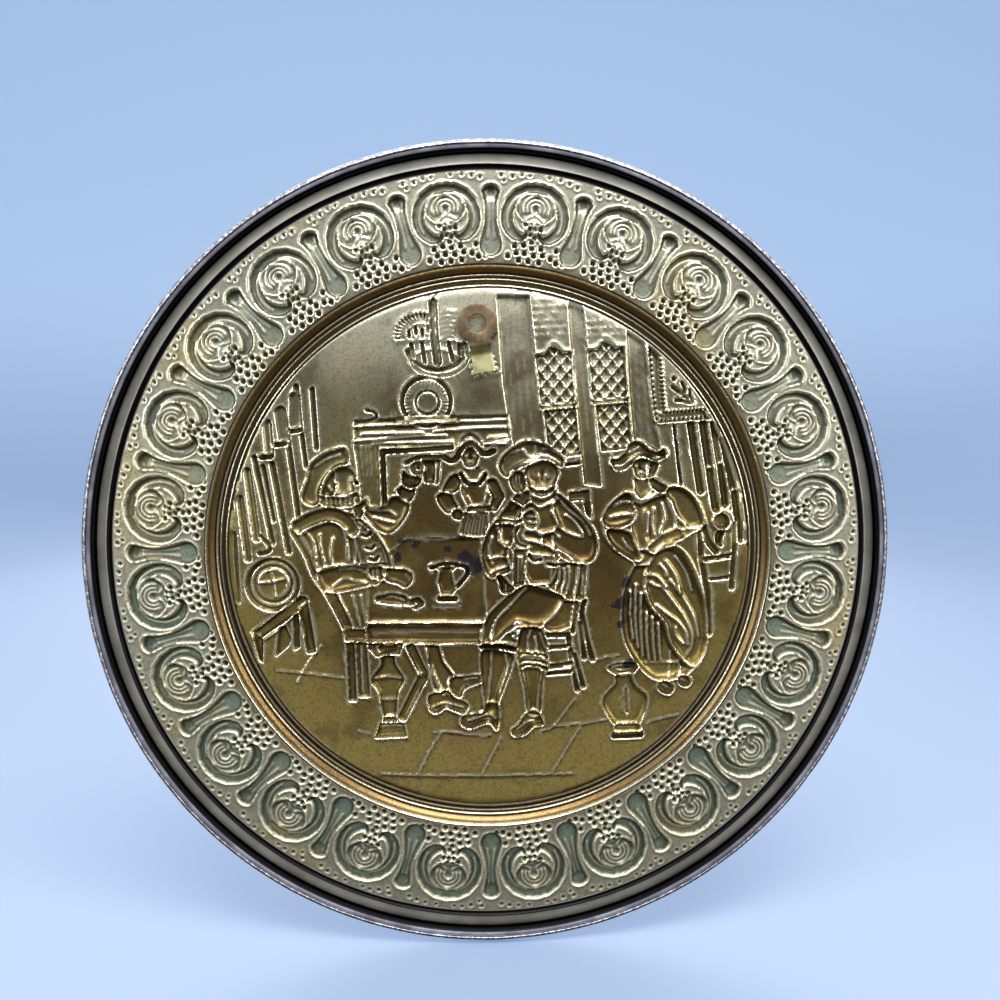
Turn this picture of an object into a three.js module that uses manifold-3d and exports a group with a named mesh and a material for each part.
// A round wall plaque of pressed sheet brass, 356 mm across, with a steel wire rolled into its
// edge and a hanging tab soldered to its back. The relief stands out on the show side and is
// hollow on the back. Millimetres, +Z up. The show side faces -Y and the wall is at +Y.
//
// The sheet is worked out in its own plate frame: u to the right and v up as seen from the wall,
// w towards the wall, with the plate's centre at the origin and the border's back face at w = 0.
import * as THREE from 'three';
import { mergeVertices } from 'three/addons/utils/BufferGeometryUtils.js';
import Module from 'manifold-3d';

// ---- driving dimensions -------------------------------------------------------------------

const PLAQUE_RADIUS = 178;
const SHEET = 0.5;                 // thickness of the brass
const WIRE_RADIUS = 2.0;           // steel wire inside the rolled edge
const FIT_GAP = 0.3;               // clearance between neighbouring pieces

const BORDER_OUTER = 166;          // where the relief border ends and the flat rim begins
const BORDER_INNER = 126.5;        // where the border meets the round moulding
const MOULDING_DEPTH = 4.3;        // how far the moulding stands out on the show side
const MOULDING_FLAT = [119.5, 122];
const MEDALLION_RADIUS = 116;
const MEDALLION_DROP = 1.5;        // the picture's ground lies this far out from the border's

const BORDER_UNITS = 24;           // scroll and dart, repeated round the border
const RIM_FACETS = 48;
const MOULDING_FACETS = 48;
const WIRE_SIDES = 6;
const ROLL_STEPS = 4;

const PICTURE_POINTS = 910;        // points that carve the medallion
const UNIT_POINTS = 29;            // points that carve one border unit

const HOLE = { u: -6, v: 100, radius: 4 };   // hanging hole in the tab
const TAB_RADIUS = 8.7;
const TAB_THICK = 1.2;
const TAB_LEAN = 9;                // degrees that the tab leans over
const TAB_NECK_WIDTH = 10.5;
const TAB_LEVEL = 3.0;             // the tab's wall face, above the border's back face
const TAB_FOOT = 21;               // from the hole's centre down to the end of the soldered foot
const MOUNT_ABOVE_HOLE = 6.3;      // the hanging point is on the web above the hole

// ---- areas: how far a place lies inside a form, in mm (negative outside) --------------------

const reach = ([u, v], [au, av, ar], [bu, bv, br]) => {
  const du = bu - au, dv = bv - av;
  const along = ((u - au) * du + (v - av) * dv) / (du * du + dv * dv || 1);
  const t = Math.min(1, Math.max(0, along));
  return ar + (br - ar) * t - Math.hypot(u - au - du * t, v - av - dv * t);
};

// A chain of round joints [u, v, radius], tapering from one to the next.
const limb = (...joints) => ({
  corners: joints,
  margin: Math.max(...joints.map((j) => j[2])),
  inside: (p) => {
    if (joints.length === 1) return reach(p, joints[0], joints[0]);
    return Math.max(...joints.slice(1).map((joint, i) => reach(p, joints[i], joint)));
  },
});

// A bar of one width through the given places.
const bar = (width, ...places) => limb(...places.map(([u, v]) => [u, v, width / 2]));

// A straight-sided area inside its corners.
const pad = (...corners) => ({
  corners,
  margin: 0,
  inside: ([u, v]) => {
    let nearest = Infinity, within = false;
    corners.forEach(([au, av], i) => {
      const [bu, bv] = corners[(i + 1) % corners.length];
      nearest = Math.min(nearest, -reach([u, v], [au, av, 0], [bu, bv, 0]));
      if (av > v !== bv > v && u < au + ((v - av) / (bv - av)) * (bu - au)) within = !within;
    });
    return within ? nearest : -nearest;
  },
});

const ring = (u, v, radius, width) => ({
  corners: [[u, v]],
  margin: radius + width,
  inside: ([pu, pv]) => width / 2 - Math.abs(Math.hypot(pu - u, pv - v) - radius),
});

// ---- a hammered ground that forms are laid on, each over the ones before it -----------------

class Relief {
  constructor(uMin, uMax, vMin, vMax, step) {
    Object.assign(this, { uMin, vMin, step });
    this.columns = Math.round((uMax - uMin) / step) + 1;
    this.rows = Math.round((vMax - vMin) / step) + 1;
    this.rise = new Float64Array(this.columns * this.rows);
  }

  place(index) {
    const column = index % this.columns;
    return [this.uMin + column * this.step, this.vMin + ((index - column) / this.columns) * this.step];
  }

  // Lays areas of one height: `shoulder` is how wide the rounded edge is.
  lay(height, shoulder, ...areas) {
    for (const { corners, margin, inside } of areas) {
      const span = (axis, low, count) => {
        const along = corners.map((corner) => (corner[axis] - low) / this.step);
        return [Math.max(0, Math.floor(Math.min(...along) - margin / this.step)),
          Math.min(count - 1, Math.ceil(Math.max(...along) + margin / this.step))];
      };
      const [c0, c1] = span(0, this.uMin, this.columns), [r0, r1] = span(1, this.vMin, this.rows);
      for (let row = r0; row <= r1; row += 1) {
        for (let column = c0; column <= c1; column += 1) {
          const index = row * this.columns + column;
          const t = Math.min(1, inside(this.place(index)) / shoulder);
          if (t > 0) this.rise[index] = height * t * (2 - t);
        }
      }
    }
    return this;
  }
}

// ---- facets: a Delaunay net refined where it misses most of the relief -----------------------

const ON_CIRCLE = 1e-12;           // a place this close to a facet's circle counts as outside it
const OFF_EDGE = 0.01;             // share of a facet's height that a new point keeps off its edges

class Net {
  constructor(relief, outline) {
    this.relief = relief;
    this.points = [[-9e4, -9e4, 0], [9e4, -9e4, 0], [0, 9e4, 0]];
    this.triangles = [this.triangle(0, 1, 2)];
    outline.forEach((point) => this.insert(point));
    this.triangles.forEach((triangle) => this.measure(triangle));
  }

  triangle(a, b, c) {
    const [[ax, ay], [bx, by], [cx, cy]] = [a, b, c].map((i) => this.points[i]);
    const d = 2 * ((bx - ax) * (cy - ay) - (by - ay) * (cx - ax));
    const bb = (bx - ax) ** 2 + (by - ay) ** 2, cc = (cx - ax) ** 2 + (cy - ay) ** 2;
    const x = ((cy - ay) * bb - (by - ay) * cc) / d, y = ((bx - ax) * cc - (cx - ax) * bb) / d;
    return { corners: [a, b, c], x: ax + x, y: ay + y, reach: x * x + y * y, missed: 0, error: 0, worst: -1 };
  }

  insert(point) {
    const index = this.points.push(point) - 1;
    const hit = (t) => (point[0] - t.x) ** 2 + (point[1] - t.y) ** 2 < t.reach * (1 - ON_CIRCLE);
    const broken = this.triangles.filter(hit);
    this.triangles = this.triangles.filter((t) => !hit(t));
    const edges = broken.flatMap(({ corners: [a, b, c] }) => [[a, b], [b, c], [c, a]]);
    const shared = new Set(edges.map(([a, b]) => `${b},${a}`));
    const fresh = edges.filter(([a, b]) => !shared.has(`${a},${b}`))
      .map(([a, b]) => this.triangle(a, b, index));
    this.triangles = this.triangles.concat(fresh);
    return fresh;
  }

  // Adds up how much relief a flat facet misses, and finds the place where it misses most.
  measure(triangle) {
    if (triangle.corners.some((i) => i < 3)) return;
    const [a, b, c] = triangle.corners.map((i) => this.points[i]);
    const { relief } = this, { step, columns } = relief;
    const span = (k, low) => [
      Math.ceil((Math.min(a[k], b[k], c[k]) - low) / step),
      Math.floor((Math.max(a[k], b[k], c[k]) - low) / step)];
    const [c0, c1] = span(0, relief.uMin), [r0, r1] = span(1, relief.vMin);
    const area = (b[0] - a[0]) * (c[1] - a[1]) - (b[1] - a[1]) * (c[0] - a[0]);
    for (let row = Math.max(1, r0); row <= Math.min(relief.rows - 2, r1); row += 1) {
      for (let column = Math.max(1, c0); column <= Math.min(columns - 2, c1); column += 1) {
        const [u, v] = relief.place(row * columns + column);
        const wb = ((u - a[0]) * (c[1] - a[1]) - (v - a[1]) * (c[0] - a[0])) / area;
        const wc = ((b[0] - a[0]) * (v - a[1]) - (b[1] - a[1]) * (u - a[0])) / area;
        if (Math.min(wb, wc, 1 - wb - wc) > OFF_EDGE) {
          const flat = a[2] + wb * (b[2] - a[2]) + wc * (c[2] - a[2]);
          const error = Math.abs(relief.rise[row * columns + column] - flat);
          triangle.missed += error;
          if (error > triangle.error) Object.assign(triangle, { error, worst: row * columns + column });
        }
      }
    }
  }

  refine(count) {
    for (let n = 0; n < count; n += 1) {
      const worst = this.triangles.reduce((best, t) => (t.missed > best.missed ? t : best));
      if (worst.worst < 0) break;
      const [u, v] = this.relief.place(worst.worst);
      this.insert([u, v, this.relief.rise[worst.worst]]).forEach((t) => this.measure(t));
    }
    return this;
  }

  // The facets inside the outline, as corner triples of places [x, y, rise].
  facets() {
    return this.triangles.filter((t) => t.corners.every((i) => i > 2))
      .map((t) => t.corners.map((i) => this.points[i]));
  }
}

// ---- the picture in the medallion: a tavern room with its guests -----------------------------

const picture = new Relief(-MEDALLION_RADIUS, MEDALLION_RADIUS, -MEDALLION_RADIUS, MEDALLION_RADIUS, 1);

const FAINT = 0.8;                 // heights of the relief on the show side
const LOW = 1.4;
const HIGH = 2.4;
const BOLD = 3.2;
const PROUD = 4.2;

function layRoom() {
  // Hanging cloth on both sides, in long flutes.
  const leftFolds = [[-86, 70, -83, 40], [-93, 62, -86, 18], [-99, 54, -90, 2], [-105, 44, -97, 6],
    [-110, 30, -106, 4], [-114, 12, -112, -20]];
  const rightFolds = [[82, 54, 87, 32], [91, 56, 96, 28], [97, 56, 101, 22], [102, 50, 106, 20],
    [106, 44, 112, 12]];
  for (const [u, v, footU, footV] of [...leftFolds, ...rightFolds]) {
    picture.lay(LOW, 1.8, bar(3.6, [u, v], [footU, footV]));
  }
  // Timber posts between the windows, each leaning a little to the right.
  const posts = [[10, 112, 16, 48, 13], [37.5, 112, 45, 32, 6], [65.5, 92, 68.5, 48, 8]];
  for (const [u, v, footU, footV, width] of posts) {
    picture.lay(LOW, 1.2, bar(width, [u, v], [footU, footV]));
  }
  // Two leaded windows, each with an arched light over a square one.
  for (const [u, v] of [[19.5, 87], [42.8, 89]]) {
    picture.lay(LOW, 1, pad([u, v], [u + 5, v + 1], [u + 8, v + 4], [u + 12, v + 2], [u + 15.5, v + 1.5],
      [u + 17, v - 20], [u + 3, v - 21]));
    picture.lay(LOW, 1, pad([u + 4, v - 24], [u + 17.5, v - 23], [u + 19, v - 42], [u + 6, v - 44]));
  }
  // Framed picture on the right wall.
  picture.lay(LOW, 1.2, bar(4, [72.5, 90], [76, 60.5]), bar(3.6, [76, 60.5], [98, 62]));
  // Chimney breast: mantel shelf, its mouldings and the hearth opening.
  picture.lay(LOW, 1.5, pad([-61, 59], [7, 62], [8, 50], [-20, 47], [-61, 47]));
  picture.lay(0, 1, bar(1.6, [-58, 53.8], [6, 57]), bar(1.6, [-58, 50], [6, 52.5]));
  picture.lay(LOW, 1.2, pad([-61, 47], [-49, 47], [-49, 20], [-60, 20]));
  picture.lay(LOW, 1, bar(2.4, [-48, 20], [-48, 45], [-17, 47]));
  // Dish standing on the mantel, and the hanging ring of candles.
  picture.lay(LOW, 1, limb([-28.5, 66, 11.5])).lay(FAINT, 1, ring(-28.5, 66, 8.3, 4));
  picture.lay(HIGH, 1.6, pad([-36, 91], [-35, 83], [-28, 78], [-20, 77.5], [-12, 82], [-10, 90], [-14, 92],
    [-15, 86], [-24, 89.5], [-34, 86.5]));
  picture.lay(LOW, 1, bar(3.4, [-25, 111], [-23.6, 84]));
  // Round tub with a cross on its lid, and the stool below it.
  picture.lay(LOW, 1.4, limb([-97.5, -14, 12])).lay(FAINT, 1, limb([-97.5, -14, 8]));
  picture.lay(LOW, 1, bar(2, [-102, -14], [-93, -12.5]), bar(2, [-98.5, -9], [-96.5, -19]));
  picture.lay(LOW, 1.2, bar(4, [-84, -22.5], [-104, -37]), bar(3, [-83, -25], [-79.5, -45]),
    bar(3, [-102, -38], [-103, -50]), bar(2.4, [-88, -28], [-87, -44]), bar(2.4, [-93, -34], [-97, -47]));
  // Ewer on the floor.
  picture.lay(HIGH, 2.4, pad([53, -53], [57, -57], [56.5, -62], [51.5, -66], [51, -70], [53.5, -76],
    [57.5, -80.5], [54.5, -86], [69, -86], [66.5, -80.5], [70.5, -74], [71.5, -68], [69.5, -64.5],
    [65.5, -61], [64.5, -57], [67, -52]));
  // Settle behind the maid.
  picture.lay(LOW, 1.4, bar(3, [95, 8], [96, -4], [99.5, -22], [99.5, -40]), bar(3, [97, -4], [109, -2.5]),
    limb([104.5, 13.5, 3.6]), limb([103, 5, 2.6]));
}

function layTable() {
  picture.lay(FAINT, 2, pad([-46, 6], [-4, 7], [-2, -32], [-56, -32]));
  picture.lay(HIGH, 2, pad([-56, -32.5], [-3, -32], [-3, -42.5], [-57, -41.5]));
  // Turned leg under its corner, with a strut.
  picture.lay(HIGH, 1.6, pad([-53, -41], [-40, -41], [-42, -47.5], [-51, -47.5]),
    pad([-49.5, -47], [-44, -47], [-39.5, -57], [-42.5, -69], [-43, -77], [-38.5, -84.5], [-52.5, -85],
      [-49, -77], [-50, -69], [-54, -58]));
  picture.lay(LOW, 1.2, bar(3.4, [-38, -43], [-31, -57], [-40, -76]));
  // A tankard, and a long loaf beside it.
  picture.lay(HIGH, 1.6, pad([-26, -5.5], [-14, -5], [-16, -15], [-15, -22.5], [-24.5, -22.5], [-24, -15]));
  picture.lay(LOW, 1.2, bar(1.8, [-15, -6], [-10.8, -8], [-15, -16]));
  picture.lay(HIGH, 2, limb([-47, -21.8, 2.4], [-40, -22.2, 2.8], [-33, -23.5, 2.2]));
}

// The hostess stands behind the table, hands on her hips.
function layHostess() {
  picture.lay(LOW, 2, pad([-13, 33], [-2, 33], [0, 27], [-1, 19], [-9, 18.5], [-14, 27]));
  picture.lay(HIGH, 2, limb([-16, 31, 3.4], [-21.5, 25, 3.2], [-17, 18, 3]),
    limb([0, 30, 3.2], [3.5, 24, 3], [1, 18.5, 2.6]));
  picture.lay(LOW, 1.6, pad([-10.5, 18], [-1.5, 18.5], [-1.5, 8], [-14, 7]));
  picture.lay(HIGH, 2.4, pad([-20.5, 42], [-15, 43], [-14, 50], [-9, 53], [-4.5, 50.5], [-3, 46], [2, 46],
    [0, 43.5], [-5, 45], [-13, 42], [-17, 40]));
  picture.lay(BOLD, 3, limb([-9, 42.5, 4.6], [-8.7, 41, 4.2]));
}

// The guest on the left sits in profile, lifting a tankard, his other arm on the table.
function layLeftGuest() {
  picture.lay(LOW, 1.5, bar(3, [-88, 10], [-79, -8], [-72, -18], [-65, -34]),
    pad([-67, -35], [-56, -35], [-56, -41], [-66, -41]));
  picture.lay(LOW, 1.2, bar(2.6, [-63.5, -41], [-62, -68]), bar(2.6, [-59, -41], [-58, -68]));
  picture.lay(HIGH, 5, pad([-84, 10], [-76, 17], [-62, 20], [-54, 15], [-46, 4], [-42, -6], [-50, -14],
    [-72, -18], [-79, -8]));
  picture.lay(BOLD, 4, limb([-60, 14, 5.5], [-47, 13.5, 5], [-41.5, 19, 4.2], [-38, 25, 3.4]));
  picture.lay(BOLD, 2.6, limb([-37.5, 28, 2.8], [-34.5, 32.5, 2.6]));
  picture.lay(BOLD, 3, pad([-36, 41], [-21.5, 42], [-23.5, 30.5], [-27, 29], [-31, 31]));
  picture.lay(BOLD, 3.6, limb([-71, -12, 5], [-56, -10.5, 4.4], [-46, -10.5, 3.6], [-38.5, -11.5, 3]));
  picture.lay(BOLD, 5, limb([-66, 31, 7.4], [-65, 27, 6.4]));
  picture.lay(HIGH, 2, pad([-64.5, 46.5], [-73, 44.5], [-80, 38.5], [-82, 31], [-84, 24], [-80, 20.5], [-76, 23],
    [-74.5, 31], [-69, 37.5], [-62.5, 40]));
  // His leg and shoes under the table.
  picture.lay(LOW, 1.8, limb([-26.5, -44, 2.8], [-24, -53, 2.8], [-20, -62, 2.2]));
  picture.lay(HIGH, 1.8, pad([-29, -65], [-20, -63], [-11, -68.5], [-10.5, -72], [-13, -74.5], [-20, -71.5],
    [-27.5, -73.5]), pad([-19, -60], [-13, -57], [-5, -57], [-5, -60], [-14, -66]));
}

// The guest in the middle sits facing us on a chair, fist on his chest.
function layMiddleGuest() {
  picture.lay(HIGH, 2, pad([29, -22], [41, -22], [39, -32], [30, -37], [25, -34]));
  picture.lay(LOW, 1, bar(2.4, [26, -38], [35.5, -38.5], [37, -52], [40.5, -65]),
    bar(2.2, [40.5, -26], [43, -41], [46, -50]), bar(2, [25, -44.5], [36, -43]),
    bar(2, [25, -53.5], [37, -52]));
  picture.lay(HIGH, 4, pad([3, 14], [12, 22], [20, 19], [31, 25], [36, 12], [36, -16], [31, -21], [18, -16],
    [9, -16], [8, 0]));
  picture.lay(BOLD, 4.4, limb([8, 17, 5.4], [1, 4, 5.4], [2, -7, 4.8]), limb([4, -12, 2.6], [7.5, -16, 2.6]),
    limb([34, 20, 5.6], [42, 9, 6], [42, 0, 6.4], [31, 3, 4.6], [19, 7, 4]));
  picture.lay(BOLD, 2.6, limb([15, 14.5, 2.6], [19, 11.5, 3]),
    pad([2.6, 13], [14, 13], [12, 2.5], [6.5, 1.5], [3.6, 4]));
  picture.lay(BOLD, 5, limb([24, -25, 8.4], [10, -30, 7], [2, -38, 4.8], [0.5, -58, 4.2], [1.5, -72, 3]));
  picture.lay(BOLD, 4.4, limb([22, -30, 7], [19.5, -41, 6], [19, -52, 5.8], [19, -70, 3.2]));
  picture.lay(BOLD, 2, pad([-13.5, -76], [-6, -73.5], [3, -70], [3.5, -80], [-9, -81.5]),
    pad([9, -83], [17, -74], [23, -74], [23.5, -80], [14, -85.5]));
  // Head, then the broad flat cap over it.
  picture.lay(BOLD, 6, limb([22.5, 34, 8], [22.5, 30, 6.6]), limb([11, 30, 3.6], [12.5, 34, 3]));
  picture.lay(BOLD, 3, pad([3.5, 38], [6, 43], [13, 48.5], [21, 49.5], [29, 46], [32.5, 40], [24, 41.5],
    [12, 37.5], [7, 32]));
}

// The maid on the right: broad hat, full sleeves, a gathered overskirt over a pleated one.
function layMaid() {
  picture.lay(BOLD, 5, pad([66, -5], [61, -16], [59.5, -32], [62, -46], [67, -54], [75, -59.5], [88, -57.5],
    [95, -52], [98.5, -41], [98, -30], [93, -12], [87, -2], [80, 2.5], [73, -1]));
  picture.lay(PROUD, 2.4, pad([71, -12], [71, -23], [79, -33], [83, -46], [91, -53], [96.5, -48], [98, -34],
    [94, -14], [88, -3], [78, 0]));
  picture.lay(HIGH, 1.6, limb([79, -62, 3.2]), limb([88.5, -59.5, 2.6]));
  picture.lay(HIGH, 4, pad([62, 27], [67, 22], [78, 26], [84, 6], [74, -1], [66, -1], [63, 12]));
  picture.lay(BOLD, 4, limb([60, 21, 5], [55, 12, 6], [59, 4, 5.4], [67, -3, 3.4]),
    limb([84, 22, 6], [90, 14, 5.6], [82, 7, 4], [74, 4, 3]));
  picture.lay(LOW, 1.6, limb([68.5, 29, 3.2]));
  picture.lay(BOLD, 3.4, limb([67.8, 37.5, 4.4]));
  picture.lay(BOLD, 2.6, pad([53, 41], [60, 44.5], [61.5, 48], [65, 49.5], [69, 47.5], [72, 45], [78, 44],
    [77.5, 41.5], [70, 42], [65, 41], [60, 37], [55, 37]));
}

layRoom();
layTable();
layHostess();
layLeftGuest();
layMiddleGuest();
layMaid();

// ---- one border unit: a C-scroll on its axis and half a dart at each side --------------------

const UNIT_ANGLE = (2 * Math.PI) / BORDER_UNITS;
const UNIT_WIDTH = 38;
const SCROLL = { v: 149, radius: 14.6, width: 5, eye: 6.4 };
const DART = { outer: 158.5, waist: 149, inner: 134.5 };

const border = new Relief(-UNIT_WIDTH / 2, UNIT_WIDTH / 2, BORDER_INNER, BORDER_OUTER, 1);

// Unit places are [arc position, radius]; forms on an axis `turn` radians away are met squarely.
const onAxis = (area, turn) => ({
  corners: [[0, BORDER_INNER]],
  margin: UNIT_WIDTH * 2,
  inside: ([arc, radius]) => {
    const angle = (arc / UNIT_WIDTH) * UNIT_ANGLE - turn;
    return area.inside([radius * Math.sin(angle), radius * Math.cos(angle)]);
  },
});

const dart = limb([0, DART.outer, 3.8], [0, DART.waist, 2.4], [0, DART.inner, 4.4]);
const scrollTail = (side) => limb([side * 11, 142, 2.6], [side * 7.5, 138.5, 3.4]);
border.lay(HIGH, 1.6, onAxis(dart, -UNIT_ANGLE / 2), onAxis(dart, UNIT_ANGLE / 2));
border.lay(HIGH, 1.8, onAxis(ring(0, SCROLL.v, SCROLL.radius - SCROLL.width / 2, SCROLL.width), 0));
border.lay(0, 1, onAxis(pad([0, SCROLL.v], [-9, 128], [9, 128]), 0));
border.lay(HIGH, 1.6, onAxis(scrollTail(-1), 0), onAxis(scrollTail(1), 0));
border.lay(HIGH, 2, onAxis(limb([0, SCROLL.v + 0.5, SCROLL.eye]), 0));

// ---- the sheet: medallion, moulding, border and rolled rim, front and back ------------------

const soup = [];
const facet = (a, b, c) => soup.push(...a, ...b, ...c);
const polar = (radius, angle, w) => [radius * Math.sin(angle), radius * Math.cos(angle), w];

// Adds a relief facet on the back, and its copy one sheet's thickness out on the show side.
function bothFaces(corners) {
  const front = corners.map(([u, v, w]) => [u, v, w - SHEET]);
  facet(corners[0], corners[1], corners[2]);
  facet(front[2], front[1], front[0]);
}

// Sweeps a profile of [radius, w] places round the plate; the material is on its right-hand side.
function sweep(profile, facets) {
  const turn = (2 * Math.PI) / facets;
  for (let n = 0; n < facets; n += 1) {
    const [from, to] = [n * turn, ((n + 1) % facets) * turn];
    profile.slice(1).forEach(([radius, w], i) => {
      const [lastRadius, lastW] = profile[i];
      const corners = [polar(lastRadius, from, lastW), polar(radius, from, w), polar(radius, to, w),
        polar(lastRadius, to, lastW)];
      facet(corners[0], corners[2], corners[1]);
      facet(corners[0], corners[3], corners[2]);
    });
  }
}

const circle = (radius, facets, rise) => Array.from({ length: facets }, (_, n) => {
  const [u, v] = polar(radius, (2 * Math.PI * n) / facets, 0);
  return [u, v, rise];
});

const medallionNet = new Net(picture, circle(MEDALLION_RADIUS, MOULDING_FACETS, 0)).refine(PICTURE_POINTS);
for (const corners of medallionNet.facets()) {
  bothFaces(corners.map(([u, v, rise]) => [u, v, -MEDALLION_DROP - rise]));
}

const mouldingProfile = [[MEDALLION_RADIUS, -MEDALLION_DROP], [MOULDING_FLAT[0], -MOULDING_DEPTH],
  [MOULDING_FLAT[1], -MOULDING_DEPTH], [BORDER_INNER, 0]];
sweep(mouldingProfile, MOULDING_FACETS);
sweep(mouldingProfile.map(([radius, w]) => [radius, w - SHEET]).reverse(), MOULDING_FACETS);

// The unit's outline bows out by a hair, so that no three of its places are in one line.
function unitOutline() {
  const low = BORDER_INNER, high = BORDER_OUTER, half = UNIT_WIDTH / 2, bow = 0.02;
  const arcs = (count, radius, side) => Array.from({ length: count + 1 }, (_, n) => {
    const arc = -half + (n * UNIT_WIDTH) / count;
    return [arc, radius + side * bow * (1 - (arc / half) ** 2), 0];
  });
  const dartRise = (radius) => border.rise[Math.round(radius - low) * border.columns];
  const sides = [130, 133, 137, 143, 149, 155, 158, 160, 162].flatMap((radius) => {
    const out = half + bow * (1 - ((2 * radius - low - high) / (high - low)) ** 2);
    const rise = dartRise(radius);
    return [[-out, radius, rise], [out, radius, rise]];
  });
  return [...arcs(MOULDING_FACETS / BORDER_UNITS, low, -1), ...arcs(RIM_FACETS / BORDER_UNITS, high, 1),
    ...sides];
}

const unitFacets = new Net(border, unitOutline()).refine(UNIT_POINTS).facets();
for (let unit = 0; unit < BORDER_UNITS; unit += 1) {
  for (const corners of unitFacets) {
    bothFaces(corners.map(([arc, radius, rise]) => {
      const side = Math.abs(arc) > UNIT_WIDTH / 2 - 1e-6 ? Math.sign(arc) / 2 : arc / UNIT_WIDTH;
      const angle = ((unit + 0.5 + side) % BORDER_UNITS) * UNIT_ANGLE;
      return polar(Math.min(BORDER_OUTER, Math.max(BORDER_INNER, radius)), angle, -rise);
    }));
  }
}

// The rim runs out flat, turns round the wire and stops just past the top of it.
const rollRadius = WIRE_RADIUS + FIT_GAP;
const rollCentre = PLAQUE_RADIUS - SHEET - rollRadius;
const roll = (radius) => Array.from({ length: ROLL_STEPS + 1 }, (_, n) => {
  const angle = THREE.MathUtils.degToRad(-90 + (n * 186) / ROLL_STEPS);
  return [rollCentre + radius * Math.cos(angle), rollRadius + radius * Math.sin(angle)];
});
sweep([[BORDER_OUTER, 0], ...roll(rollRadius), ...roll(rollRadius + SHEET).reverse(),
  [BORDER_OUTER, -SHEET]], RIM_FACETS);

function solidFrom(triangles) {
  const geometry = new THREE.BufferGeometry();
  geometry.setAttribute('position', new THREE.Float32BufferAttribute(triangles, 3));
  return mergeVertices(geometry, 1e-4);
}

// ---- the wire in the rim --------------------------------------------------------------------

const wireSection = Array.from({ length: WIRE_SIDES + 1 }, (_, n) => {
  const angle = (2 * Math.PI * (n + 0.5)) / WIRE_SIDES;
  return new THREE.Vector2(rollCentre + WIRE_RADIUS * Math.cos(angle), WIRE_RADIUS * Math.sin(angle));
});
const wire = new THREE.LatheGeometry(wireSection, RIM_FACETS);
wire.rotateX(Math.PI / 2);
wire.translate(0, 0, rollRadius);

// ---- the hanging tab: a pierced disc, bent down to a soldered foot ---------------------------

function pierced() {
  const shape = new THREE.Shape().absarc(0, 0, TAB_RADIUS, 0, 2 * Math.PI);
  shape.holes.push(new THREE.Path().absarc(0, 0, HOLE.radius, 0, 2 * Math.PI, true));
  const disc = new THREE.ExtrudeGeometry(shape, { depth: TAB_THICK, bevelEnabled: false, curveSegments: 10 });
  return disc.translate(0, 0, TAB_LEVEL - TAB_THICK);
}

function strap() {
  const top = TAB_LEVEL, foot = -MEDALLION_DROP + FIT_GAP + TAB_THICK;
  const upper = [[-HOLE.radius - 1, top], [-9, top], [-13, foot], [-TAB_FOOT, foot]];
  const lower = upper.map(([v, w]) => [v, w - TAB_THICK]).reverse();
  const side = new THREE.Shape([...upper, ...lower].map(([v, w]) => new THREE.Vector2(v, w)));
  const strip = new THREE.ExtrudeGeometry(side, { depth: TAB_NECK_WIDTH, bevelEnabled: false });
  // Profile x, y and extrusion z become v, w and u.
  strip.applyMatrix4(new THREE.Matrix4().set(0, 0, 1, -TAB_NECK_WIDTH / 2, 1, 0, 0, 0, 0, 1, 0, 0, 0, 0, 0, 1));
  return strip;
}

const wasm = await Module();
wasm.setup();

function toManifold(geometry) {
  const bare = geometry.clone();
  bare.deleteAttribute('normal');
  bare.deleteAttribute('uv');
  const merged = mergeVertices(bare, 1e-4);
  return new wasm.Manifold(new wasm.Mesh({
    numProp: 3,
    vertProperties: new Float32Array(merged.attributes.position.array),
    triVerts: new Uint32Array(merged.index.array),
  }));
}

function fromManifold(manifold) {
  const mesh = manifold.getMesh();
  const geometry = new THREE.BufferGeometry();
  geometry.setAttribute('position', new THREE.Float32BufferAttribute(mesh.vertProperties, 3));
  geometry.setIndex(new THREE.Uint32BufferAttribute(mesh.triVerts, 1));
  return geometry;
}

const tab = fromManifold(toManifold(pierced()).add(toManifold(strap())));
tab.rotateZ(THREE.MathUtils.degToRad(TAB_LEAN));
tab.translate(HOLE.u, HOLE.v, 0);

// ---- the plaque, hung at the web above its hole ----------------------------------------------

function piece(name, geometry, color, roughness, metalness) {
  geometry.computeVertexNormals();
  const mesh = new THREE.Mesh(geometry, new THREE.MeshStandardMaterial({ color, roughness, metalness }));
  mesh.name = name;
  mesh.position.set(-HOLE.u, -HOLE.v - MOUNT_ABOVE_HOLE, -TAB_LEVEL);
  return mesh;
}

const plaque = new THREE.Group();
plaque.add(
  piece('pressed_sheet', solidFrom(soup), 0x8c8468, 0.42, 0.9),
  piece('rim_wire', wire, 0x4a4752, 0.5, 0.85),
  piece('hanging_tab', tab, 0x6d604a, 0.55, 0.8),
);
// Plate axes u, v, w become -X, +Z, +Y.
plaque.rotation.set(-Math.PI / 2, 0, Math.PI);

export default plaque;
